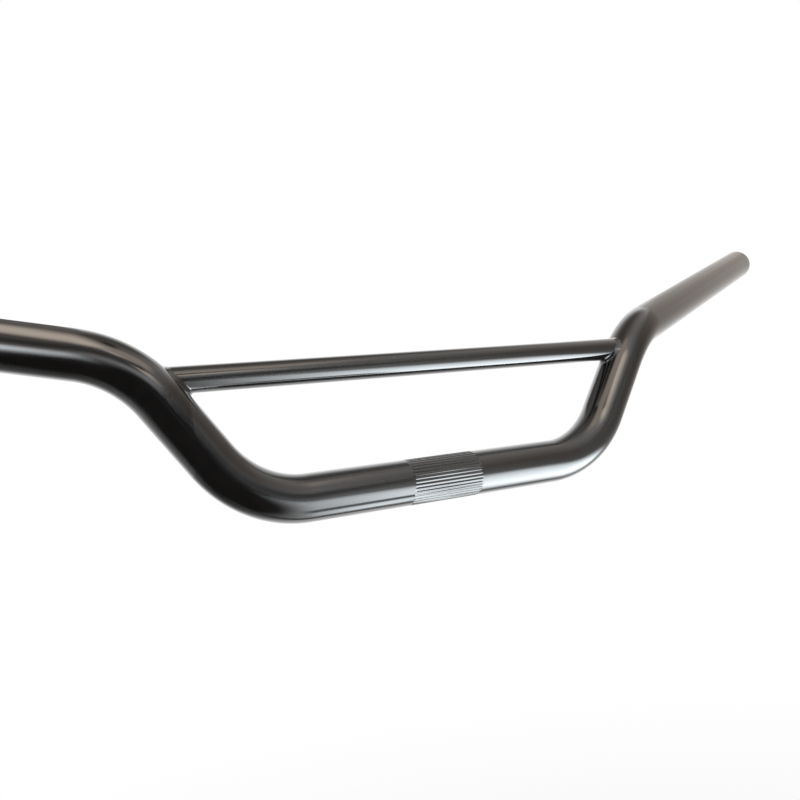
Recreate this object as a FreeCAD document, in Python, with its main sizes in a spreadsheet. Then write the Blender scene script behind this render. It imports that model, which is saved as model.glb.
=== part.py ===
"""Low-rise bicycle handlebar, in millimetres and degrees.

One bent tube with a splined clamp zone, a thin crossbar coped to it and a weld bead at each end of
the crossbar. The clamp zone is centred on the origin, X runs along the bar to the rider's right, Y
runs forward and Z runs up in the plane of the risers.
"""
import FreeCAD
import Part
import Sketcher
import math
import os

DIMENSIONS = [
    ("tube_diameter", 22.2, "outside diameter of the bent tube"),
    ("tube_wall", 1.6, "wall of the bent tube"),
    ("centre_length", 138.0, "straight length between the lower bends"),
    ("bend_radius", 50.0, "radius of every bend, at the tube's centre line"),
    ("riser_angle", 55.5, "slope of the risers"),
    ("riser_length", 33.5, "straight length of a riser"),
    ("back_sweep", 25.0, "sweep of the grips towards the rider"),
    ("up_sweep", 14.5, "upward slope of the grips"),
    ("grip_length", 257.0, "straight length of a grip"),
    ("end_chamfer", 0.4, "edge break at the bar's ends"),
    ("spline_count", 40, "grooves round the clamp zone"),
    ("spline_length", 38.0, "length of the clamp zone"),
    ("spline_width", 0.9, "width of a groove at the surface"),
    ("spline_depth", 0.4, "depth of a groove"),
    ("crossbar_diameter", 12.0, "outside diameter of the crossbar"),
    ("crossbar_wall", 1.2, "wall of the crossbar"),
    ("crossbar_height", 57.3, "height of the crossbar's axis over the clamp axis"),
    ("vent_diameter", 4.0, "vent from the crossbar into the bent tube"),
    ("weld_leg", 2.5, "leg of the weld bead on either tube"),
]

RISER = "Dimensions.riser_angle"
BACK = "Dimensions.back_sweep"
UP = "Dimensions.up_sweep"
BEND = "Dimensions.bend_radius"
HALF_CENTRE = "Dimensions.centre_length / 2"
TUBE_RADIUS = "Dimensions.tube_diameter / 2"
TUBE_BORE = "Dimensions.tube_diameter / 2 - Dimensions.tube_wall"
CROSSBAR_RADIUS = "Dimensions.crossbar_diameter / 2"
CROSSBAR_BORE = "Dimensions.crossbar_diameter / 2 - Dimensions.crossbar_wall"
CROSSBAR_HEIGHT = "Dimensions.crossbar_height"

# Top of a riser, and the upper bend's angle and the turn of its plane about the riser.
RISER_TOP_X = f"{HALF_CENTRE} + {BEND} * sin({RISER}) + Dimensions.riser_length * cos({RISER})"
RISER_TOP_Z = f"{BEND} * (1 - cos({RISER})) + Dimensions.riser_length * sin({RISER})"
RISER_TOP = f"vector({RISER_TOP_X}; {RISER_TOP_Z}; 0)"
GRIP_BEND = f"acos(cos({RISER}) * cos({UP}) * cos({BACK}) + sin({RISER}) * sin({UP}))"
GRIP_TURN = (
    f"atan2(cos({UP}) * sin({BACK});"
    f" cos({RISER}) * sin({UP}) - sin({RISER}) * cos({UP}) * cos({BACK}))"
)
SECTION_FRAME = f"placement({RISER_TOP}; rotationz({RISER}) * rotationy(90))"
GRIP_FRAME = f"placement({RISER_TOP}; rotationz({RISER}) * rotationx({GRIP_TURN}))"
HALF_PITCH = "placement(vector(0; 0; 0); rotationz(180 / Dimensions.spline_count))"

# Half the crossbar's length, measured to where its axis meets the line of the riser.
CROSSBAR_REACH = f"{RISER_TOP_X} + ({CROSSBAR_HEIGHT} - ({RISER_TOP_Z})) / tan({RISER})"

NEAR = 0.01
ALONG_X = FreeCAD.Rotation(FreeCAD.Vector(0, 0, 1), FreeCAD.Vector(1, 0, 0))


def add_sheet(doc):
    """The driving dimensions as named cells."""
    sheet = doc.addObject("Spreadsheet::Sheet", "Dimensions")
    for row, (alias, value, meaning) in enumerate(DIMENSIONS, start=1):
        sheet.set(f"A{row}", meaning)
        sheet.set(f"B{row}", str(value))
        sheet.setAlias(f"B{row}", alias)
    doc.recompute()
    return sheet


def origin_item(body, role):
    """The plane or axis of a body's own origin that has the given role."""
    return next(item for item in body.Origin.OriginFeatures if item.Role == role)


def add_sketch(body, name, role, frame=None):
    """An empty sketch on a plane of the body's origin, moved by an expression."""
    sketch = body.newObject("Sketcher::SketchObject", name)
    sketch.AttachmentSupport = (origin_item(body, role), [""])
    sketch.MapMode = "FlatFace"
    if frame:
        sketch.setExpression("AttachmentOffset", frame)
    return sketch


def size(sketch, expression):
    """The present value of an expression, as a plain number."""
    value = sketch.evalExpression(expression)
    return getattr(value, "Value", value)


def relate(sketch, *terms):
    """A geometric constraint of a sketch."""
    sketch.addConstraint(Sketcher.Constraint(*terms))


def measure(sketch, name, expression, kind, *items):
    """A named dimension of a sketch, driven by an expression."""
    value = size(sketch, expression)
    if kind == "Angle":
        value = math.radians(value)
    index = sketch.addConstraint(Sketcher.Constraint(kind, *items, value))
    sketch.renameConstraint(index, name)
    sketch.setExpression(f"Constraints.{name}", expression)


def add_line(sketch, start, end):
    """A line between two points of a sketch."""
    return sketch.addGeometry(Part.LineSegment(FreeCAD.Vector(*start), FreeCAD.Vector(*end)), False)


def add_bend(sketch, start, radius, angle):
    """An arc that leaves a point of a sketch along its first axis and turns to the left."""
    centre = FreeCAD.Vector(start, radius)
    circle = Part.Circle(centre, FreeCAD.Vector(0, 0, 1), radius)
    down = math.radians(-90)
    return sketch.addGeometry(Part.ArcOfCircle(circle, down, down + math.radians(angle)), False)


def add_circle(sketch, name, radius, height=None):
    """A circle round a sketch's origin, or on its upright axis at a height."""
    centre = FreeCAD.Vector(0, size(sketch, height) if height else 0)
    circle = Part.Circle(centre, FreeCAD.Vector(0, 0, 1), size(sketch, radius))
    index = sketch.addGeometry(circle, False)
    if height:
        relate(sketch, "PointOnObject", index, 3, -2)
        measure(sketch, f"{name}_height", height, "DistanceY", -1, 1, index, 3)
    else:
        relate(sketch, "Coincident", index, 3, -1, 1)
    measure(sketch, f"{name}_radius", radius, "Radius", index)


def draw_centre_path(sketch):
    """Half the centre straight, the lower bend and the riser."""
    half, radius, slope = (size(sketch, item) for item in (HALF_CENTRE, BEND, RISER))
    turn = math.radians(slope)
    bend_end = (half + radius * math.sin(turn), radius * (1 - math.cos(turn)))
    top = (size(sketch, RISER_TOP_X), size(sketch, RISER_TOP_Z))
    centre = add_line(sketch, (0, 0), (half, 0))
    bend = add_bend(sketch, half, radius, slope)
    riser = add_line(sketch, bend_end, top)
    relate(sketch, "Coincident", centre, 1, -1, 1)
    relate(sketch, "Horizontal", centre)
    relate(sketch, "Tangent", centre, 2, bend, 1)
    relate(sketch, "Tangent", bend, 2, riser, 1)
    measure(sketch, "half_centre", HALF_CENTRE, "Distance", centre)
    measure(sketch, "bend", BEND, "Radius", bend)
    measure(sketch, "riser", "Dimensions.riser_length", "Distance", riser)
    measure(sketch, "slope", RISER, "Angle", -1, 1, riser, 1)


def draw_grip_path(sketch):
    """The upper bend and the grip, in the plane that holds the riser and the grip."""
    radius, angle, length = (size(sketch, item) for item in (BEND, GRIP_BEND, "Dimensions.grip_length"))
    turn = math.radians(angle)
    start = (radius * math.sin(turn), radius * (1 - math.cos(turn)))
    end = (start[0] + length * math.cos(turn), start[1] + length * math.sin(turn))
    bend = add_bend(sketch, 0, radius, angle)
    grip = add_line(sketch, start, end)
    relate(sketch, "Coincident", bend, 1, -1, 1)
    relate(sketch, "PointOnObject", bend, 3, -2)
    relate(sketch, "Tangent", bend, 2, grip, 1)
    measure(sketch, "bend", BEND, "Radius", bend)
    measure(sketch, "grip", "Dimensions.grip_length", "Distance", grip)
    measure(sketch, "turn", GRIP_BEND, "Angle", -1, 1, grip, 1)


def draw_groove(sketch):
    """A V groove in the tube, drawn as far over the surface as it is deep."""
    surface, depth, width = (
        size(sketch, item) for item in (TUBE_RADIUS, "Dimensions.spline_depth", "Dimensions.spline_width")
    )
    root = (0, surface - depth)
    corners = [(width, surface + depth), (-width, surface + depth)]
    right = add_line(sketch, root, corners[0])
    mouth = add_line(sketch, *corners)
    left = add_line(sketch, corners[1], root)
    for side, following in ((right, mouth), (mouth, left), (left, right)):
        relate(sketch, "Coincident", side, 2, following, 1)
    relate(sketch, "PointOnObject", right, 1, -2)
    relate(sketch, "Symmetric", mouth, 1, mouth, 2, -2)
    measure(sketch, "root", f"{TUBE_RADIUS} - Dimensions.spline_depth", "DistanceY", -1, 1, right, 1)
    measure(sketch, "rise", "2 * Dimensions.spline_depth", "DistanceY", right, 1, right, 2)
    measure(sketch, "mouth", "2 * Dimensions.spline_width", "Distance", mouth)


def add_bent_bar(doc, name, hollow):
    """A body swept along the whole bar, as the tube or as the solid that it bounds."""
    body = doc.addObject("PartDesign::Body", name)
    halves = []
    for piece, draw, path_frame, section_role, section_frame in (
        ("centre", draw_centre_path, None, "YZ_Plane", None),
        ("grip", draw_grip_path, GRIP_FRAME, "XZ_Plane", SECTION_FRAME),
    ):
        path = add_sketch(body, f"{name}_{piece}_path", "XZ_Plane", path_frame)
        draw(path)
        section = add_sketch(body, f"{name}_{piece}_section", section_role, section_frame)
        add_circle(section, "outside", TUBE_RADIUS)
        if hollow:
            add_circle(section, "inside", TUBE_BORE)
        half = body.newObject("PartDesign::AdditivePipe", f"{name}_{piece}_half")
        half.Profile = section
        half.Spine = (path, [])
        halves.append(half)
        doc.recompute()
    mirrored = body.newObject("PartDesign::Mirrored", f"{name}_both_sides")
    mirrored.Originals = halves
    mirrored.MirrorPlane = (origin_item(body, "YZ_Plane"), [""])
    body.Tip = mirrored
    doc.recompute()
    return body


def add_symmetric(body, kind, name, sketch, length):
    """A pad or pocket that runs to both sides of its sketch."""
    feature = body.newObject(kind, name)
    feature.Profile = sketch
    feature.SideType = "Symmetric"
    feature.setExpression("Length", length)
    return feature


def add_splines(doc, body):
    """Grooves along the clamp zone, all round the tube, with a land at the top."""
    sketch = add_sketch(body, "groove_section", "YZ_Plane", HALF_PITCH)
    draw_groove(sketch)
    groove = add_symmetric(body, "PartDesign::Pocket", "groove", sketch, "Dimensions.spline_length")
    doc.recompute()
    splines = body.newObject("PartDesign::PolarPattern", "splines")
    splines.Originals = [groove]
    splines.Axis = (origin_item(body, "X_Axis"), [""])
    splines.Angle = 360
    splines.setExpression("Occurrences", "Dimensions.spline_count")
    body.Tip = splines
    doc.recompute()


def add_vents(doc, body):
    """A vent through the wall that each end of the crossbar covers."""
    sketch = add_sketch(body, "vent_section", "YZ_Plane")
    add_circle(sketch, "vent", "Dimensions.vent_diameter / 2", CROSSBAR_HEIGHT)
    add_symmetric(body, "PartDesign::Pocket", "vents", sketch, f"2 * ({CROSSBAR_REACH})")
    doc.recompute()


def add_end_chamfers(doc, body):
    """Broken edges at the bar's two open ends."""
    last = body.Tip
    rims = [
        (f"Edge{number}", abs(edge.Curve.Center.x))
        for number, edge in enumerate(last.Shape.Edges, start=1)
        if isinstance(edge.Curve, Part.Circle)
    ]
    reach = max(x for _, x in rims)
    chamfer = body.newObject("PartDesign::Chamfer", "end_chamfers")
    chamfer.Base = (last, [name for name, x in rims if reach - x < NEAR])
    chamfer.setExpression("Size", "Dimensions.end_chamfer")
    doc.recompute()


def add_crossbar(doc, filler):
    """A thin tube between the risers, with its ends coped to them."""
    blank = doc.addObject("PartDesign::Body", "crossbar_blank")
    sketch = add_sketch(blank, "crossbar_section", "YZ_Plane")
    add_circle(sketch, "outside", CROSSBAR_RADIUS, CROSSBAR_HEIGHT)
    add_circle(sketch, "inside", CROSSBAR_BORE, CROSSBAR_HEIGHT)
    add_symmetric(blank, "PartDesign::Pad", "crossbar_length", sketch, f"2 * ({CROSSBAR_REACH})")
    crossbar = doc.addObject("Part::Cut", "crossbar")
    crossbar.Base = blank
    crossbar.Tool = filler
    doc.recompute()
    return crossbar


def seam_edges(joint, filler, sheet):
    """Numbers of the edges where the crossbar's surface runs into the bent tube's."""
    radius = sheet.crossbar_diameter / 2
    numbers = []
    for number, edge in enumerate(joint.Edges, start=1):
        points = edge.discretize(7)
        on_crossbar = [abs(math.hypot(p.y, p.z - sheet.crossbar_height) - radius) < NEAR for p in points]
        on_tube = [filler.distToShape(Part.Vertex(p))[0] < NEAR for p in points]
        if all(on_crossbar) and all(on_tube):
            numbers.append(number)
    return numbers


def add_weld_beads(doc, filler, sheet):
    """A bead of even leg round each end of the crossbar."""
    rod = doc.addObject("Part::Cylinder", "crossbar_rod")
    rod.setExpression("Radius", CROSSBAR_RADIUS)
    rod.setExpression("Height", CROSSBAR_REACH)
    rod.Placement = FreeCAD.Placement(FreeCAD.Vector(), ALONG_X)
    rod.setExpression("Placement.Base.z", CROSSBAR_HEIGHT)
    joint = doc.addObject("Part::Fuse", "joint")
    joint.Base = filler
    joint.Tool = rod
    doc.recompute()
    seam = seam_edges(joint.Shape, filler.Shape, sheet)
    filled = doc.addObject("Part::Chamfer", "filled_joint")
    filled.Base = joint
    filled.Edges = [(number, sheet.weld_leg, sheet.weld_leg) for number in seam]
    right = doc.addObject("Part::Cut", "right_bead")
    right.Base = filled
    right.Tool = joint
    left = doc.addObject("Part::Mirroring", "left_bead")
    left.Source = right
    left.Normal = (1, 0, 0)
    beads = doc.addObject("Part::Compound", "weld_beads")
    beads.Links = [left, right]
    doc.recompute()
    return beads


def export(doc, pieces):
    """Writes each piece to its own file, once every object is sound and has its number of solids."""
    for item in doc.Objects:
        if "Invalid" in item.State or "Error" in item.State:
            raise RuntimeError(f"{item.Name} did not build: {item.State}")
    for piece, count in pieces:
        if piece.Shape.isNull() or not piece.Shape.isValid() or len(piece.Shape.Solids) != count:
            raise RuntimeError(f"{piece.Label} is not {count} valid solids")
    os.makedirs("parts", exist_ok=True)
    for piece, _ in pieces:
        Part.makeCompound(piece.Shape.Solids).exportStep(f"parts/{piece.Label}.step")


def main():
    """Builds the handlebar and exports its pieces."""
    doc = FreeCAD.newDocument("handlebar")
    sheet = add_sheet(doc)
    tube = add_bent_bar(doc, "bent_tube", hollow=True)
    add_splines(doc, tube)
    add_vents(doc, tube)
    add_end_chamfers(doc, tube)
    filler = add_bent_bar(doc, "tube_filler", hollow=False)
    crossbar = add_crossbar(doc, filler)
    beads = add_weld_beads(doc, filler, sheet)
    export(doc, [(tube, 1), (crossbar, 1), (beads, 2)])


main()
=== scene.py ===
"""Low-rise bicycle handlebar, dressed for its picture.

The bent tube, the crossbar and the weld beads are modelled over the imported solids, painted black and
set in a white studio. Lengths are in metres, in the frame of the solids: X along the bar to the
rider's right, Y forward, Z up.
"""
from __future__ import annotations

import logging
import math
import random
from collections.abc import Callable
from dataclasses import dataclass, field
from enum import Enum

import bmesh
import bpy
from mathutils import Matrix, Vector

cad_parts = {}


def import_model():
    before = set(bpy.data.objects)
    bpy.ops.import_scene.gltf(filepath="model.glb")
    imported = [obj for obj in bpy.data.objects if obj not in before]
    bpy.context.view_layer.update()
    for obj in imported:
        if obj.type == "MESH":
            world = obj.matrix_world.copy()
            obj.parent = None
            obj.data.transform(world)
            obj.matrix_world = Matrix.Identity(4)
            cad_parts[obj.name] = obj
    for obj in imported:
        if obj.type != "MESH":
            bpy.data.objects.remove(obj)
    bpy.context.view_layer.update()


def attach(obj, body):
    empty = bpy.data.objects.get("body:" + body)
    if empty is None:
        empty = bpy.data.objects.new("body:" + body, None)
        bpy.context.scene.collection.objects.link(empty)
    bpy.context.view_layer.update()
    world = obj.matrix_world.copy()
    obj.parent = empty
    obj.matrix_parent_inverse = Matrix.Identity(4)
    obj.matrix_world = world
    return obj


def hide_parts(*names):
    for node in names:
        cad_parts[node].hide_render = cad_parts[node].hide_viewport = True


MM = 0.001
NEAR = 0.02 * MM
MERGE = 0.001 * MM
BODY = "root"
Colour = tuple[float, float, float]
Span = tuple[float, float]
LOG = logging.getLogger("handlebar")


class Side(Enum):
    """An end of the crossbar, as the sign of X."""

    LEFT = -1
    RIGHT = 1


class Tone(Enum):
    """Colour of a studio card's light."""

    WARM = (1.16, 1.00, 0.86)
    COOL = (0.93, 1.00, 1.04)
    SMOKE = (1.08, 1.00, 0.93)
    PLAIN = (1.00, 1.00, 1.00)


class Outline(Enum):
    """Shape of a studio card."""

    OBLONG = 1
    ROUND = 2


# shader maths


class Signal:
    """A number that varies over a surface; arithmetic on it adds Math nodes."""

    def __init__(self, sheet: NodeSheet, socket: bpy.types.NodeSocket) -> None:
        """Wraps a socket.

        Args:
            sheet: The node sheet that the socket belongs to.
            socket: An output socket with a single number.
        """
        self.sheet = sheet
        self.socket = socket

    def _math(self, operation: str, left: Signal | float, right: Signal | float) -> Signal:
        """Adds one Math node.

        Args:
            operation: The Math node's operation.
            left: First operand.
            right: Second operand.

        Returns:
            The node's result.
        """
        return self.sheet.signal("ShaderNodeMath", {0: left, 1: right}, operation=operation)

    def __add__(self, other: Signal | float) -> Signal:
        """Sum of two signals."""
        return self._math("ADD", self, other)

    __radd__ = __add__

    def __sub__(self, other: Signal | float) -> Signal:
        """Difference of two signals."""
        return self._math("SUBTRACT", self, other)

    def __rsub__(self, other: float) -> Signal:
        """A number less this signal."""
        return self._math("SUBTRACT", other, self)

    def __mul__(self, other: Signal | float) -> Signal:
        """Product of two signals."""
        return self._math("MULTIPLY", self, other)

    __rmul__ = __mul__

    def __abs__(self) -> Signal:
        """Size of this signal without its sign."""
        return self._math("ABSOLUTE", self, 0.0)

    def largest(self, other: Signal | float) -> Signal:
        """The larger of two signals."""
        return self._math("MAXIMUM", self, other)

    def hypot(self, other: Signal) -> Signal:
        """Length of the vector that two signals make."""
        squares = self * self + other * other
        return self._math("POWER", squares, 0.5)

    def ramp(self, low: float, high: float, bottom: float = 0.0, top: float = 1.0) -> Signal:
        """A smooth step.

        Args:
            low: Input at which the step starts.
            high: Input at which it ends.
            bottom: Output before the step.
            top: Output after it.

        Returns:
            The stepped signal.
        """
        ends = {"From Min": low, "From Max": high, "To Min": bottom, "To Max": top}
        return self.sheet.signal(
            "ShaderNodeMapRange", {"Value": self, **ends}, interpolation_type="SMOOTHSTEP"
        )


class NodeSheet:
    """The nodes of one material or world."""

    def __init__(self, owner: bpy.types.Material | bpy.types.World) -> None:
        """Clears the owner's nodes.

        Args:
            owner: The material or world to write nodes for.
        """
        owner.use_nodes = True
        self.tree = owner.node_tree
        self.tree.nodes.clear()

    def node(self, kind: str, inputs: dict | None = None, **settings: object) -> bpy.types.Node:
        """Adds a node.

        Args:
            kind: The node's type name.
            inputs: Values, sockets or signals by input name or number.
            **settings: Properties of the node, set before its inputs.

        Returns:
            The new node.
        """
        made = self.tree.nodes.new(kind)
        for name, value in settings.items():
            setattr(made, name, value)
        for name, value in (inputs or {}).items():
            source = value.socket if isinstance(value, Signal) else value
            if isinstance(source, bpy.types.NodeSocket):
                self.tree.links.new(source, made.inputs[name])
            else:
                made.inputs[name].default_value = source
        return made

    def signal(
        self, kind: str, inputs: dict | None = None, out: int | str = 0, **settings: object
    ) -> Signal:
        """Adds a node and wraps one of its outputs.

        Args:
            kind: The node's type name.
            inputs: Values, sockets or signals by input name or number.
            out: Output to wrap.
            **settings: Properties of the node.

        Returns:
            The wrapped output.
        """
        return Signal(self, self.node(kind, inputs, **settings).outputs[out])

    def blend(
        self, share: Signal, first: Colour | bpy.types.NodeSocket, second: Colour
    ) -> bpy.types.NodeSocket:
        """Mixes two colours.

        Args:
            share: Share of the second colour.
            first: Colour at share 0, or the socket that gives it.
            second: Colour at share 1.

        Returns:
            The mixed colour's socket.
        """
        start = first if isinstance(first, bpy.types.NodeSocket) else (*first, 1.0)
        inputs = {"Factor": share, 6: start, 7: (*second, 1.0)}
        return self.node("ShaderNodeMix", inputs, data_type="RGBA").outputs[2]

    def place(self) -> bpy.types.NodeSocket:
        """The object's own coordinates."""
        return self.node("ShaderNodeTexCoord").outputs["Object"]

    def axes(self) -> tuple[Signal, Signal, Signal]:
        """The object's own coordinates, one by one."""
        parts = self.node("ShaderNodeSeparateXYZ", {0: self.place()}).outputs
        return Signal(self, parts[0]), Signal(self, parts[1]), Signal(self, parts[2])

    def noise(self, pitch: float, detail: float = 2.0) -> Signal:
        """Soft noise over the object.

        Args:
            pitch: Size of a blotch, in metres.
            detail: Octaves of finer noise.

        Returns:
            Noise between 0 and 1.
        """
        inputs = {"Vector": self.place(), "Scale": 1.0 / pitch, "Detail": detail}
        return self.signal("ShaderNodeTexNoise", inputs)

    def seen_plainly(self) -> Signal:
        """Tells the rays that show the surroundings from the light that scatters.

        Returns:
            1 for camera, mirror and glass rays, 0 for other light.
        """
        path = self.node("ShaderNodeLightPath").outputs
        names = ("Is Camera Ray", "Is Glossy Ray", "Is Transmission Ray")
        camera, glossy, glass = (Signal(self, path[name]) for name in names)
        return camera.largest(glossy).largest(glass)


# finishes


@dataclass(frozen=True)
class BlackPaint:
    """Deep black gloss paint with a clear top coat; the splines' crests are lighter, partly rubbed paint
    and partly a painted highlight.
    """

    name: str = "black_gloss_paint"
    deep: Colour = (0.0040, 0.0037, 0.0038)
    thin: Colour = (0.0085, 0.0076, 0.0072)
    # Crest colour: partly paint rubbed thin, partly a painted highlight along each crest.
    rubbed_and_sheen: Colour = (0.030, 0.029, 0.028)
    roughness: float = 0.11
    haze: float = 0.05
    grain: float = 0.03
    gloss_level: float = 0.70
    index: float = 1.6
    coat_roughness: float = 0.04
    peel_pitch: float = 2.2 * MM
    peel_depth: float = 0.0045 * MM
    grain_pitch: float = 0.35 * MM
    grain_bump: float = 0.08
    haze_pitch: float = 34.0 * MM
    haze_span: Span = (0.42, 0.68)
    mottle_pitch: float = 9.0 * MM
    mottle_span: Span = (0.35, 0.70)
    mottle_share: float = 0.6
    rub_and_sheen_pitch: float = 1.3 * MM
    rub_and_sheen_span: Span = (0.35, 0.65)
    rub_roughness: float = 0.1
    crest_reach: float = 19.0 * MM
    crest_fade: float = 0.6 * MM
    crest_radius: float = 11.1 * MM
    crest_under: Span = (-0.12 * MM, -0.01 * MM)
    crest_over: Span = (0.5 * MM, 1.0 * MM)

    def make(self) -> bpy.types.Material:
        """Writes the paint's nodes.

        Returns:
            The material.
        """
        material = bpy.data.materials.new(self.name)
        sheet = NodeSheet(material)
        haze = sheet.noise(self.haze_pitch, 4.0).ramp(*self.haze_span)
        grain = sheet.noise(self.grain_pitch)
        # Crest mark: partly rubbed paint, partly a painted highlight, in blotches along the crests.
        crest = self._crest(sheet) * sheet.noise(self.rub_and_sheen_pitch).ramp(*self.rub_and_sheen_span)
        mottle = sheet.noise(self.mottle_pitch, 3.0).ramp(*self.mottle_span)
        thinning = mottle * self.mottle_share + haze * (1.0 - self.mottle_share)
        painted = sheet.blend(thinning, self.deep, self.thin)
        # The crests' lighter colour is partly rubbed paint and partly a painted highlight.
        colour = sheet.blend(crest, painted, self.rubbed_and_sheen)
        uneven = haze * self.haze + (grain - 0.5) * self.grain + crest * self.rub_roughness
        peel = sheet.noise(self.peel_pitch, 1.0) + grain * self.grain_bump
        bump = sheet.node("ShaderNodeBump", {"Height": peel, "Strength": 1.0, "Distance": self.peel_depth})
        shader = sheet.node(
            "ShaderNodeBsdfPrincipled",
            {
                "Base Color": colour,
                "Roughness": self.roughness + uneven,
                "IOR": self.index,
                "Specular IOR Level": self.gloss_level,
                "Coat Weight": 1.0,
                "Coat Roughness": self.coat_roughness,
                "Coat IOR": self.index,
                "Normal": bump.outputs[0],
            },
        )
        sheet.node("ShaderNodeOutputMaterial", {"Surface": shader.outputs[0]})
        return material

    def _crest(self, sheet: NodeSheet) -> Signal:
        """Marks the tops of the splines.

        Args:
            sheet: The paint's nodes.

        Returns:
            1 on a crest, 0 elsewhere.
        """
        x, y, z = sheet.axes()
        along = abs(x).ramp(self.crest_reach - self.crest_fade, self.crest_reach, 1.0, 0.0)
        radius = y.hypot(z)
        raised = radius.ramp(*(self.crest_radius + rise for rise in self.crest_under))
        beyond = radius.ramp(*(self.crest_radius + rise for rise in self.crest_over), 1.0, 0.0)
        return along * raised * beyond


@dataclass(frozen=True)
class BoreSteel:
    """Drawn steel inside the tube, dulled by a dusting of paint."""

    name: str = "drawn_steel_bore"
    steel: Colour = (0.20, 0.195, 0.19)
    dusted: Colour = (0.03, 0.03, 0.03)
    dust_pitch: float = 3.0 * MM
    dust_span: Span = (0.3, 0.7)
    dust_dulling: float = 0.8
    streak_pitch: float = 0.6 * MM
    streak: float = 0.2
    roughness: float = 0.42

    def make(self) -> bpy.types.Material:
        """Writes the steel's nodes.

        Returns:
            The material.
        """
        material = bpy.data.materials.new(self.name)
        sheet = NodeSheet(material)
        dust = sheet.noise(self.dust_pitch, 4.0).ramp(*self.dust_span)
        shader = sheet.node(
            "ShaderNodeBsdfPrincipled",
            {
                "Base Color": sheet.blend(dust, self.steel, self.dusted),
                "Roughness": self.roughness + sheet.noise(self.streak_pitch) * self.streak,
                "Metallic": 1.0 - dust * self.dust_dulling,
            },
        )
        sheet.node("ShaderNodeOutputMaterial", {"Surface": shader.outputs[0]})
        return material


# modelling


class Bench:
    """Work on one new mesh, grown from a ring that stands across X."""

    def __init__(self, name: str, around: int, radius: float, centre: Vector) -> None:
        """Adds the ring and opens it for editing, all selected.

        Args:
            name: The piece's name.
            around: Vertices round the ring.
            radius: The ring's radius.
            centre: The ring's centre.
        """
        bpy.ops.object.select_all(action="DESELECT")
        turned = (0.0, math.pi / 2, 0.0)
        bpy.ops.mesh.primitive_circle_add(vertices=around, radius=radius, location=centre, rotation=turned)
        self.piece = bpy.context.active_object
        self.piece.name = name
        self.piece.data.name = name
        bpy.ops.object.transform_apply(location=True, rotation=True, scale=True)
        bpy.ops.object.mode_set(mode="EDIT")
        bpy.ops.mesh.select_mode(type="EDGE")
        bpy.ops.mesh.select_all(action="SELECT")

    def extrude(self, step: Vector) -> None:
        """Draws the selected ring out by a step."""
        bpy.ops.mesh.extrude_region_move(TRANSFORM_OT_translate={"value": step})

    def spin(self, centre: Vector, axis: Vector, angle: float, steps: int) -> None:
        """Draws the selected ring round a bend.

        Args:
            centre: The bend's centre.
            axis: Axis to turn about.
            angle: Angle to turn, right-handed.
            steps: Rings along the bend.
        """
        bpy.ops.mesh.spin(steps=steps, angle=-angle, center=centre, axis=axis)

    def widen(self, factor: float, centre: Vector) -> None:
        """Scales the selection about a point."""
        bpy.ops.transform.resize(value=(factor, factor, factor), center_override=centre)

    def shift(self, step: Vector) -> None:
        """Moves the selection."""
        bpy.ops.transform.translate(value=step)

    def select(self, chosen: Callable[[Vector], bool]) -> None:
        """Selects vertices by their place.

        Args:
            chosen: Says of a place whether it is selected.
        """
        bpy.ops.mesh.select_mode(type="VERT")
        bpy.ops.mesh.select_all(action="DESELECT")
        mesh = bmesh.from_edit_mesh(self.piece.data)
        for vertex in mesh.verts:
            vertex.select_set(chosen(vertex.co))
        mesh.select_flush_mode()
        bmesh.update_edit_mesh(self.piece.data)

    def group(self, name: str) -> None:
        """Puts the selection in a new vertex group."""
        self.piece.vertex_groups.new(name=name)
        bpy.ops.object.vertex_group_assign()

    def apply(self, kind: str, **settings: object) -> None:
        """Adds a modifier and applies it.

        Args:
            kind: The modifier's type.
            **settings: Its properties.
        """
        bpy.ops.object.mode_set(mode="OBJECT")
        modifier = self.piece.modifiers.new(kind.title(), kind)
        for name, value in settings.items():
            setattr(modifier, name, value)
        bpy.ops.object.modifier_apply(modifier=modifier.name)
        bpy.ops.object.mode_set(mode="EDIT")

    def close(self, crease: float = math.pi) -> bpy.types.Object:
        """Turns the faces outwards and leaves edit mode.

        Args:
            crease: Angle between faces past which their edge stays sharp.

        Returns:
            The finished piece, smooth shaded.
        """
        bpy.ops.mesh.select_all(action="SELECT")
        bpy.ops.mesh.remove_doubles(threshold=MERGE)
        bpy.ops.mesh.normals_make_consistent(inside=False)
        bpy.ops.object.mode_set(mode="OBJECT")
        bpy.ops.object.shade_smooth_by_angle(angle=crease)
        return self.piece


def mount(piece: bpy.types.Object, node: str) -> None:
    """Fixes a finished piece to the frame.

    Args:
        piece: The dressed piece.
        node: The solid that it stands for.
    """
    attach(piece, BODY)
    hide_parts(node)
    LOG.info("%s: %d faces in place of %s", piece.name, len(piece.data.polygons), node)


# pieces


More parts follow.
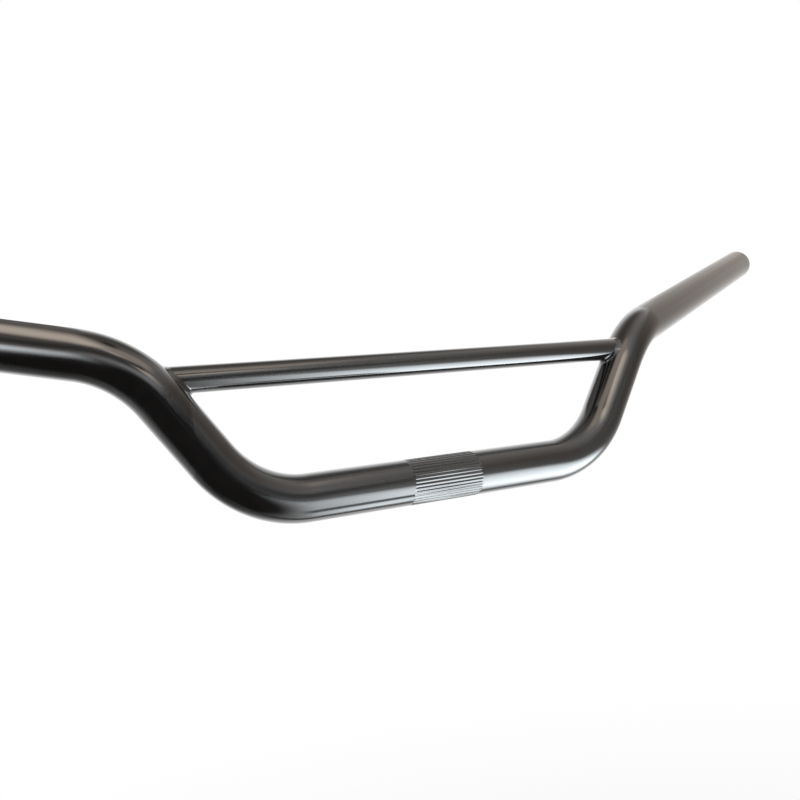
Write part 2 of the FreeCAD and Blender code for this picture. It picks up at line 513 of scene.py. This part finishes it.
@dataclass(frozen=True)
class BarLine:
    """Centre line of the tube's right half: straight, bend, riser, bend and grip."""

    half_centre: float = 69.0 * MM
    bend_radius: float = 50.0 * MM
    riser_slope: float = math.radians(55.5)
    riser_length: float = 33.5 * MM
    back_sweep: float = math.radians(25.0)
    up_sweep: float = math.radians(14.5)
    grip_length: float = 257.0 * MM

    @property
    def riser_way(self) -> Vector:
        """Direction of the riser, upwards."""
        return Vector((math.cos(self.riser_slope), 0.0, math.sin(self.riser_slope)))

    @property
    def grip_way(self) -> Vector:
        """Direction of the grip, outwards."""
        level, sweep = math.cos(self.up_sweep), self.back_sweep
        return Vector((level * math.cos(sweep), -level * math.sin(sweep), math.sin(self.up_sweep)))

    @property
    def lower_centre(self) -> Vector:
        """Centre of the lower bend."""
        return Vector((self.half_centre, 0.0, self.bend_radius))

    @property
    def riser_top(self) -> Vector:
        """Upper end of the riser."""
        across = Vector((math.sin(self.riser_slope), 0.0, -math.cos(self.riser_slope)))
        return self.lower_centre + across * self.bend_radius + self.riser_way * self.riser_length

    @property
    def upper_axis(self) -> Vector:
        """Axis of the upper bend."""
        return self.riser_way.cross(self.grip_way).normalized()

    @property
    def upper_angle(self) -> float:
        """Angle of the upper bend."""
        return self.riser_way.angle(self.grip_way)

    @property
    def upper_centre(self) -> Vector:
        """Centre of the upper bend."""
        return self.riser_top + self.upper_axis.cross(self.riser_way) * self.bend_radius

    @property
    def grip_start(self) -> Vector:
        """Inner end of the grip."""
        turn = Matrix.Rotation(self.upper_angle, 3, self.upper_axis)
        return self.upper_centre + turn @ (self.riser_top - self.upper_centre)


@dataclass(frozen=True)
class Splines:
    """Rolled axial grooves round the clamp zone."""

    count: int = 40
    reach: float = 19.0 * MM
    depth: float = 0.40 * MM
    flank_depth: float = 0.27 * MM
    crest_depth: float = 0.03 * MM
    run_out: float = 0.8 * MM
    unevenness: float = 0.35 * MM
    drift: Span = (-1.0, 0.6)
    per_pitch: int = 6
    seed: int = 11

    @property
    def around(self) -> int:
        """Vertices round the tube."""
        return self.count * self.per_pitch

    def step(self, place: Vector) -> int:
        """Number of the vertex line that a place on the tube lies on, from the top."""
        return round(math.atan2(place.y, place.z) / math.tau * self.around)


@dataclass
class BentTube:
    """The bar's main tube, with its clamp zone, bends and open ends."""

    line: BarLine = field(default_factory=BarLine)
    splines: Splines = field(default_factory=Splines)
    radius: float = 11.1 * MM
    bore: float = 9.5 * MM
    lip: float = 0.4 * MM
    lip_steps: int = 3
    holding: float = 0.5 * MM
    lower_steps: int = 30
    upper_steps: int = 26

    def model(self) -> bpy.types.Object:
        """Models the tube.

        Returns:
            The piece, without its paint.
        """
        bench = Bench("painted_tube", self.splines.around, self.radius, Vector())
        self._outside(bench)
        self._end(bench)
        bench.group("bore")
        self._inside(bench)
        self._roll_splines(bench)
        bench.apply("MIRROR", use_axis=(True, False, False), merge_threshold=NEAR)
        return bench.close()

    def dress(self, piece: bpy.types.Object, paint: bpy.types.Material, steel: bpy.types.Material) -> None:
        """Gives the tube its finishes.

        Args:
            piece: The modelled tube.
            paint: Finish of the outside.
            steel: Finish of the bore.
        """
        piece.data.materials.append(paint)
        piece.data.materials.append(steel)
        bpy.ops.object.mode_set(mode="EDIT")
        bpy.ops.mesh.select_mode(type="VERT")
        bpy.ops.mesh.select_all(action="DESELECT")
        bpy.ops.object.vertex_group_select()
        bpy.ops.mesh.select_mode(type="FACE")
        piece.active_material_index = 1
        bpy.ops.object.material_slot_assign()
        bpy.ops.object.mode_set(mode="OBJECT")

    def _outside(self, bench: Bench) -> None:
        """Draws the ring from the middle to the end of the grip.

        Args:
            bench: The tube at work.
        """
        line, zone = self.line, self.splines
        across = Vector((1.0, 0.0, 0.0))
        plain = line.half_centre - zone.reach
        for step in (zone.reach - zone.run_out, zone.run_out, self.holding, plain - self.holding):
            bench.extrude(across * step)
        bench.spin(line.lower_centre, Vector((0.0, -1.0, 0.0)), line.riser_slope, self.lower_steps)
        bench.extrude(line.riser_way * line.riser_length)
        bench.spin(line.upper_centre, line.upper_axis, line.upper_angle, self.upper_steps)
        bench.extrude(line.grip_way * (line.grip_length - self.lip - self.holding))
        bench.extrude(line.grip_way * self.holding)

    def _end(self, bench: Bench) -> None:
        """Rounds both lips of the open end and leaves the bore's ring selected.

        Args:
            bench: The tube at work.
        """
        quarter = [math.pi / 2 * number / self.lip_steps for number in range(1, self.lip_steps + 1)]
        outer = [(math.sin(a) - 1.0, self.radius + self.lip * (math.cos(a) - 1.0)) for a in quarter]
        inner = [(math.cos(a) - 1.0, self.bore + self.lip * (1.0 - math.sin(a))) for a in quarter]
        flat = [(0.0, self.bore + self.lip)]
        rim = self.line.grip_start + self.line.grip_way * self.line.grip_length
        back, radius = -1.0, self.radius
        for next_back, next_radius in outer + flat + inner:
            bench.extrude(self.line.grip_way * (self.lip * (next_back - back)))
            bench.widen(next_radius / radius, rim + self.line.grip_way * (self.lip * next_back))
            back, radius = next_back, next_radius

    def _inside(self, bench: Bench) -> None:
        """Draws the bore back to the middle.

        Args:
            bench: The tube at work.
        """
        line = self.line
        bench.extrude(line.grip_way * -self.holding)
        bench.extrude(line.grip_way * (self.lip + self.holding - line.grip_length))
        bench.spin(line.upper_centre, line.upper_axis, -line.upper_angle, self.upper_steps)
        bench.extrude(line.riser_way * -line.riser_length)
        bench.spin(line.lower_centre, Vector((0.0, -1.0, 0.0)), -line.riser_slope, self.lower_steps)
        bench.extrude(Vector((-line.half_centre, 0.0, 0.0)))

    def _roll_splines(self, bench: Bench) -> None:
        """Presses the grooves into the clamp zone and makes their ends uneven.

        Args:
            bench: The tube at work.
        """
        zone = self.splines
        full = zone.reach - zone.run_out
        middle = zone.per_pitch // 2

        def on_zone(place: Vector) -> bool:
            """Whether a place is on the outside of the clamp zone."""
            return place.x < full + NEAR and math.hypot(place.y, place.z) > (self.radius + self.bore) / 2

        for offset, depth in enumerate((zone.depth, zone.flank_depth, zone.crest_depth)):
            lines = {middle - offset, middle + offset}
            bench.select(lambda place: on_zone(place) and zone.step(place) % zone.per_pitch in lines)
            factor = 1.0 - depth / self.radius
            bpy.ops.transform.resize(value=(1.0, factor, factor), center_override=(0.0, 0.0, 0.0))
        dice = random.Random(zone.seed)
        for number in range(zone.count):
            root = number * zone.per_pitch + middle
            lines = {(root + offset) % zone.around for offset in (-1, 0, 1)}
            bench.select(
                lambda place: on_zone(place) and place.x > NEAR and zone.step(place) % zone.around in lines
            )
            bench.shift(Vector((dice.uniform(*zone.drift) * zone.unevenness, 0.0, 0.0)))


@dataclass
class Crossbar:
    """The thin brace between the risers, its ends coped to the bent tube."""

    radius: float = 6.0 * MM
    bore: float = 4.8 * MM
    height: float = 57.3 * MM
    reach: float = 100.0 * MM
    around: int = 128
    crease: float = math.radians(25.0)

    def model(self, tube: bpy.types.Object) -> bpy.types.Object:
        """Models the crossbar.

        Args:
            tube: The bent tube that the ends are fitted to.

        Returns:
            The piece, without its paint.
        """
        axis = Vector((0.0, 0.0, self.height))
        end = Vector((self.reach, 0.0, self.height))
        bench = Bench("painted_crossbar", self.around, self.radius, axis)
        bench.extrude(end - axis)
        bench.extrude(Vector())
        bench.widen(self.bore / self.radius, end)
        bench.extrude(axis - end)
        bench.select(lambda place: place.x > self.reach - NEAR)
        bench.group("cope")
        bench.apply(
            "SHRINKWRAP",
            target=tube,
            wrap_method="PROJECT",
            use_project_x=True,
            use_positive_direction=True,
            use_negative_direction=False,
            vertex_group="cope",
        )
        bench.apply("MIRROR", use_axis=(True, False, False), merge_threshold=NEAR)
        return bench.close(self.crease)


@dataclass
class WeldBeads:
    """The weld metal round both ends of the crossbar: a hollow fillet that sags, with low, soft ripples."""

    crossbar: Crossbar = field(default_factory=Crossbar)
    leg: float = 2.5 * MM
    foot: float = 2.2 * MM
    sag: float = 0.35
    sink: float = 0.06 * MM
    root: float = 0.6 * MM
    roundness: float = 1.5
    crowding: float = 1.7
    ripple: float = 0.14 * MM
    ripple_pitch: float = 6.4 * MM
    ripple_bow: float = 1.6
    ripple_sharpness: float = 1.5
    ripple_fullness: float = 0.7
    ripple_heights: Span = (0.8, 0.4)
    wander: Span = (0.2, 0.5)
    wander_turn: float = 2.0
    loops: int = 11
    around: int = 216
    seed: int = 5

    def model(self, tube: bpy.types.Object) -> bpy.types.Object:
        """Models both beads as one piece.

        Args:
            tube: The bent tube that the beads run round on.

        Returns:
            The piece, without its paint.
        """
        beads = [self._bead(tube, side) for side in Side]
        bpy.ops.object.select_all(action="DESELECT")
        for bead in beads:
            bead.select_set(True)
        bpy.context.view_layer.objects.active = beads[0]
        bpy.ops.object.join()
        beads[0].name = "painted_welds"
        beads[0].data.name = "painted_welds"
        return beads[0]

    def _bead(self, tube: bpy.types.Object, side: Side) -> bpy.types.Object:
        """Lays one bead.

        Args:
            tube: The bent tube.
            side: End of the crossbar.

        Returns:
            The bead.
        """
        outward = Vector((float(side.value), 0.0, 0.0))
        up = Vector((0.0, 0.0, 1.0))
        axis = up * self.crossbar.height
        start = axis + outward * self.crossbar.reach
        inner = self.crossbar.radius - self.root
        seat = self.crossbar.radius - self.sink
        shares = [(number / (self.loops - 1)) ** self.crowding for number in range(self.loops)]
        spread, drop = self.foot * (1.0 - self.sag), up * (self.foot * self.sag)
        rings = [(seat + spread * share, start - drop * share) for share in shares]
        bench = Bench(f"weld_{side.name.lower()}", self.around, inner, start)
        last, centre = inner, start
        for radius, middle in rings:
            bench.extrude(middle - centre)
            bench.widen(radius / last, middle)
            last, centre = radius, middle
        bench.apply(
            "SHRINKWRAP",
            target=tube,
            wrap_method="PROJECT",
            use_project_x=True,
            use_positive_direction=side is Side.RIGHT,
            use_negative_direction=side is Side.LEFT,
        )

        def ring(radius: float, middle: Vector) -> Callable[[Vector], bool]:
            """Says of a place whether it is on a loop, seen along the crossbar."""
            return lambda place: abs(math.hypot(place.y, place.z - middle.z) - radius) < NEAR / 4

        bench.select(ring(inner, start))
        bench.shift(outward * self.root)
        for share, loop in zip(shares, rings):
            bench.select(ring(*loop))
            bench.shift(outward * (self.sink * share - self.leg * self._rise(share)))
        borders = ring(inner, start), ring(*rings[-1])
        self._ripple(bench, side)
        bench.select(lambda place: any(border(place) for border in borders))
        bpy.ops.mesh.select_mode(type="EDGE")
        bpy.ops.mesh.bridge_edge_loops()
        return bench.close()

    def _rise(self, share: float) -> float:
        """Rise of the hollow over the tube, as a share of the leg, at a share of the foot."""
        return 1.0 - (1.0 - (1.0 - share) ** self.roundness) ** (1.0 / self.roundness)

    def _ripple(self, bench: Bench, side: Side) -> None:
        """Raises the ripples that the weld pool leaves.

        Args:
            bench: The bead at work.
            side: End of the crossbar.
        """
        dice = random.Random(self.seed + side.value)
        waves = [
            (number, dice.uniform(*self.wander) / number, dice.uniform(0.0, math.tau))
            for number in (1, 2, 3)
        ]
        even, swing = self.ripple_heights
        seat = self.crossbar.radius - self.sink
        count = round(math.tau * (seat + self.foot / 2) / self.ripple_pitch)
        bpy.ops.object.mode_set(mode="OBJECT")
        group = bench.piece.vertex_groups.new(name="ripples")
        for vertex in bench.piece.data.vertices:
            rise = vertex.co.z - self.crossbar.height
            angle = math.atan2(vertex.co.y, rise)
            foot = self.foot * (1.0 - self.sag - self.sag * math.cos(angle))
            along = (math.hypot(vertex.co.y, rise) - seat) / foot
            if not 0.0 < along < 1.0:
                continue
            drift = sum(size * math.sin(number * angle + start) for number, size, start in waves)
            bow = self.ripple_bow * (2.0 * along - 1.0) ** 2
            phase = count * angle + self.wander_turn * drift + bow
            crescent = (0.5 + 0.5 * math.cos(phase)) ** self.ripple_sharpness
            window = math.sin(math.pi * along) ** self.ripple_fullness
            group.add([vertex.index], window * crescent * (even + swing * drift), "REPLACE")
        bpy.ops.object.mode_set(mode="EDIT")
        bpy.ops.mesh.select_all(action="SELECT")
        bpy.ops.mesh.normals_make_consistent(inside=False)
        outward = -self.ripple if self._inverted(bench) else self.ripple
        bench.apply("DISPLACE", strength=outward, mid_level=0.0, vertex_group="ripples", direction="NORMAL")

    def _inverted(self, bench: Bench) -> bool:
        """Looks which way the open bead's faces point.

        Args:
            bench: The bead at work.

        Returns:
            Whether they point into the joint.
        """
        mesh = bmesh.from_edit_mesh(bench.piece.data)
        axis = Vector((0.0, 0.0, self.crossbar.height))
        total = 0.0
        for face in mesh.faces:
            middle = face.calc_center_median() - axis
            total += face.normal.dot(Vector((0.0, middle.y, middle.z)))
        return total < 0.0


# studio


@dataclass(frozen=True)
class Card:
    """A studio board that faces the bar and is seen only in its paint: a light, a wall or a dark flag."""

    name: str
    bearing: float
    lift: float
    distance: float
    size: tuple[float, float]
    tone: Tone
    levels: tuple[float, float]
    soft: tuple[float, float]
    roll: float = 0.0
    outline: Outline = Outline.OBLONG

    def build(self, target: Vector) -> bpy.types.Object:
        """Sets the card up.

        Args:
            target: The point that the card faces.

        Returns:
            The card, hidden from the camera, from diffuse rays and from shadows.
        """
        bearing, lift = math.radians(self.bearing), math.radians(self.lift)
        level = math.cos(lift)
        away = Vector((math.sin(bearing) * level, math.cos(bearing) * level, math.sin(lift)))
        turn = self._facing(away) @ Matrix.Rotation(math.radians(self.roll), 3, "Z")
        bpy.ops.object.select_all(action="DESELECT")
        bpy.ops.mesh.primitive_plane_add(size=1.0)
        card = bpy.context.active_object
        card.name = self.name
        card.matrix_world = Matrix.LocRotScale(target + away * self.distance, turn, (*self.size, 1.0))
        card.data.materials.append(self._material())
        card.visible_camera = False
        card.visible_diffuse = False
        card.visible_shadow = False
        return card

    def _facing(self, away: Vector) -> Matrix:
        """Turns the card to face the bar.

        Args:
            away: Direction from the bar to the card.

        Returns:
            The card's axes, before its roll.
        """
        across = away.cross(Vector((0.0, 0.0, 1.0))).normalized()
        return Matrix((across, across.cross(away), -away)).transposed()

    def _material(self) -> bpy.types.Material:
        """Writes the card's glow, which shades from its lower to its upper level and fades at its borders.

        Returns:
            The material.
        """
        material = bpy.data.materials.new(self.name)
        sheet = NodeSheet(material)
        x, y, _ = sheet.axes()
        ways = (x.hypot(y),) if self.outline is Outline.ROUND else (x, y)
        inside = math.prod(
            abs(way).ramp(0.5 - 0.5 * soft, 0.5, 1.0, 0.0) for way, soft in zip(ways, self.soft)
        )
        tint = (*self.tone.value, 1.0)
        low, top = (
            sheet.node("ShaderNodeEmission", {"Color": tint, "Strength": strength}).outputs[0]
            for strength in self.levels
        )
        glow = sheet.node("ShaderNodeMixShader", {0: y.ramp(-0.5, 0.5), 1: low, 2: top})
        clear = sheet.node("ShaderNodeBsdfTransparent")
        mix = sheet.node("ShaderNodeMixShader", {0: inside, 1: clear.outputs[0], 2: glow.outputs[0]})
        sheet.node("ShaderNodeOutputMaterial", {"Surface": mix.outputs[0]})
        return material


@dataclass(frozen=True)
class LevelCard(Card):
    """A card that lies level, under the bar or over it."""

    def _facing(self, away: Vector) -> Matrix:
        """Leaves the card level, wherever it lies."""
        return Matrix.Identity(3)


@dataclass(frozen=True)
class UprightCard(Card):
    """A card that stands upright across the bar's length."""

    def _facing(self, away: Vector) -> Matrix:
        """Stands the card square to X, wherever it is."""
        return Matrix(((0.0, 0.0, 1.0), (1.0, 0.0, 0.0), (0.0, 1.0, 0.0)))


@dataclass
class Studio:
    """White surroundings, a pale floor and the cards that the paint mirrors."""

    target: Vector = field(default_factory=lambda: Vector((0.0, 0.0, 0.05)))
    floor_height: float = -0.80
    floor_size: float = 16.0
    floor_colour: Colour = (0.92, 0.92, 0.92)
    floor_glow: float = 0.80
    floor_fade: tuple[float, float] = (0.6, 2.4)
    ambient: float = 0.60

    def build(self) -> None:
        """Sets up the world, the floor and the cards."""
        self._world()
        self._floor()
        for card in self.cards():
            card.build(self.target)

    def cards(self) -> list[Card]:
        """Lists the cards round the bar.

        Returns:
            The level cards and the upright one, then the front, above, behind and below.
        """
        warm, cool, smoke, plain = Tone.WARM, Tone.COOL, Tone.SMOKE, Tone.PLAIN
        disc = Outline.ROUND
        return [
            LevelCard("low_panel", -36.7, -30.8, 0.370, (0.55, 0.60), cool, (7.0, 0.64), (0.8, 0.33)),
            LevelCard("panel_slit", -20, -72.3, 0.194, (0.15, 0.064), cool, (0.45, 0.45), (0.5, 0.8)),
            LevelCard("panel_lip", -74, -81, 0.187, (0.13, 0.06), cool, (4.0, 4.0), (1.0, 0.6)),
            LevelCard("grip_light", 69, 52, 0.469, (0.35, 0.49), warm, (2.05, 2.5), (0.9, 0.5), 14),
            LevelCard("riser_light", -3, 54.3, 0.456, (0.36, 0.32), warm, (1.15, 1.15), (0.6, 0.6)),
            LevelCard("bend_flag", 17, 37, 0.450, (0.33, 0.20), smoke, (0.25, 0.25), (0.5, 0.7)),
            LevelCard("riser_flag", 43, 72.3, 0.383, (0.10, 0.14), smoke, (0.03, 0.03), (0.9, 0.9)),
            UprightCard("side_flag", 35, -30, 0.240, (0.36, 0.28), smoke, (0.03, 0.03), (0.2, 0.35)),
            Card("riser_glow", 1, 38.8, 0.852, (0.86, 0.36), warm, (2.8, 2.8), (1.0, 1.0), 38, disc),
            Card("panel_glow", -56, -35, 0.90, (1.01, 0.18), cool, (5.3, 3.3), (1.0, 0.42), 48),
            Card("dark_front", 37, -38, 0.78, (3.00, 1.40), smoke, (0.043, 0.019), (0.43, 0.43), -51, disc),
            Card("pale_arch", 29, -27, 0.88, (8.30, 1.00), cool, (0.08, 0.076), (1.0, 1.0), -28, disc),
            Card("dark_floor", 60, -57, 1.05, (9.70, 2.80), smoke, (0.06, 0.016), (1.0, 0.98), -25),
            Card("front_wall", -70, 11, 1.42, (5.80, 4.50), warm, (0.013, 0.435), (1.0, 0.95), 28),
            Card("ceiling", 72, 58, 1.58, (19.5, 4.50), warm, (0.40, 0.004), (0.76, 1.0), -92),
            Card("streak", 70, -5, 0.86, (1.00, 0.41), cool, (1.26, 7.5), (0.9, 0.98), -17),
            Card("grip_flag", 29, 31, 0.98, (1.12, 0.57), smoke, (0.153, 0.163), (0.29, 0.84), -15),
            Card("far_wall", -92, 28, 1.81, (8.20, 0.83), smoke, (0.68, 0.33), (1.0, 0.57), 1),
            Card("back_flag", 162, 46, 0.92, (0.45, 1.30), smoke, (0.063, 0.35), (0.32, 0.47), 14),
            Card("back_light", -151, 29, 1.00, (0.89, 0.63), plain, (1.32, 1.06), (0.29, 0.39), -19),
            Card("low_flag", 157, -74, 1.06, (6.70, 0.41), plain, (0.08, 0.22), (0.92, 0.98), -12),
            Card("under_flag", -117, -51, 0.80, (0.42, 0.54), plain, (0.31, 0.48), (0.95, 0.9), 23),
        ]

    def _world(self) -> None:
        """White where it is seen, a soft even light where it is not."""
        world = bpy.data.worlds.new("white_studio")
        bpy.context.scene.world = world
        sheet = NodeSheet(world)
        white = sheet.node("ShaderNodeBackground", {"Color": (1.0, 1.0, 1.0, 1.0), "Strength": 1.0})
        soft = sheet.node("ShaderNodeBackground", {"Color": (1.0, 1.0, 1.0, 1.0), "Strength": self.ambient})
        seen = sheet.seen_plainly()
        mix = sheet.node("ShaderNodeMixShader", {0: seen, 1: soft.outputs[0], 2: white.outputs[0]})
        sheet.node("ShaderNodeOutputWorld", {"Surface": mix.outputs[0]})

    def _floor(self) -> None:
        """A pale floor well under the bar, which keeps its shadow and is lost in white further out."""
        bpy.ops.object.select_all(action="DESELECT")
        bpy.ops.mesh.primitive_plane_add(size=self.floor_size, location=(0.0, 0.0, self.floor_height))
        floor = bpy.context.active_object
        floor.name = "floor"
        material = bpy.data.materials.new("pale_floor")
        sheet = NodeSheet(material)
        x, y, _ = sheet.axes()
        matt = sheet.node("ShaderNodeBsdfDiffuse", {"Color": (*self.floor_colour, 1.0)})
        glow = sheet.node("ShaderNodeEmission", {"Color": (1.0, 1.0, 1.0, 1.0), "Strength": 1.0})
        share = sheet.seen_plainly() * x.hypot(y).ramp(*self.floor_fade, self.floor_glow, 1.0)
        mix = sheet.node("ShaderNodeMixShader", {0: share, 1: matt.outputs[0], 2: glow.outputs[0]})
        sheet.node("ShaderNodeOutputMaterial", {"Surface": mix.outputs[0]})
        floor.data.materials.append(material)
        floor.visible_glossy = False


@dataclass(frozen=True)
class PictureCamera:
    """The camera, close to the bar and a little over the clamp's height."""

    position: tuple[float, float, float] = (0.2041, 0.3466, 0.0133)
    heading: float = math.radians(208.54)
    pitch: float = math.radians(-3.86)
    roll: float = math.radians(-7.54)
    focal_pixels: float = 816.1
    picture_pixels: float = 800.0
    sensor: float = 36.0
    nearest: float = 0.01

    def build(self) -> bpy.types.Object:
        """Adds the camera and makes it the scene's.

        Returns:
            The camera.
        """
        level = math.cos(self.pitch)
        ahead = Vector(
            (math.sin(self.heading) * level, math.cos(self.heading) * level, -math.sin(self.pitch))
        )
        across = Vector((math.cos(self.heading), -math.sin(self.heading), 0.0))
        up = across.cross(ahead)
        right = math.cos(self.roll) * across + math.sin(self.roll) * up
        top = math.cos(self.roll) * up - math.sin(self.roll) * across
        data = bpy.data.cameras.new("camera")
        data.sensor_fit = "HORIZONTAL"
        data.sensor_width = self.sensor
        data.lens = self.focal_pixels / self.picture_pixels * self.sensor
        data.clip_start = self.nearest
        camera = bpy.data.objects.new("camera", data)
        bpy.context.scene.collection.objects.link(camera)
        turn = Matrix((right, top, -ahead)).transposed()
        camera.matrix_world = Matrix.Translation(self.position) @ turn.to_4x4()
        bpy.context.scene.camera = camera
        return camera


def main() -> None:
    """Builds the pieces, the studio and the camera over the loaded frame."""
    logging.basicConfig(level=logging.INFO, format="%(name)s: %(message)s")
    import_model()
    paint, steel = BlackPaint().make(), BoreSteel().make()
    bent_tube, crossbar = BentTube(), Crossbar()
    tube = bent_tube.model()
    brace = crossbar.model(tube)
    welds = WeldBeads(crossbar).model(tube)
    bpy.ops.object.select_all(action="DESELECT")
    tube.select_set(True)
    bpy.context.view_layer.objects.active = tube
    bent_tube.dress(tube, paint, steel)
    for piece in (brace, welds):
        piece.data.materials.append(paint)
    for piece, node in ((tube, "bent_tube"), (brace, "crossbar"), (welds, "weld_beads")):
        mount(piece, node)
    Studio().build()
    PictureCamera().build()
    bpy.context.scene.view_settings.view_transform = "Standard"


if __name__ == "__main__":
    main()
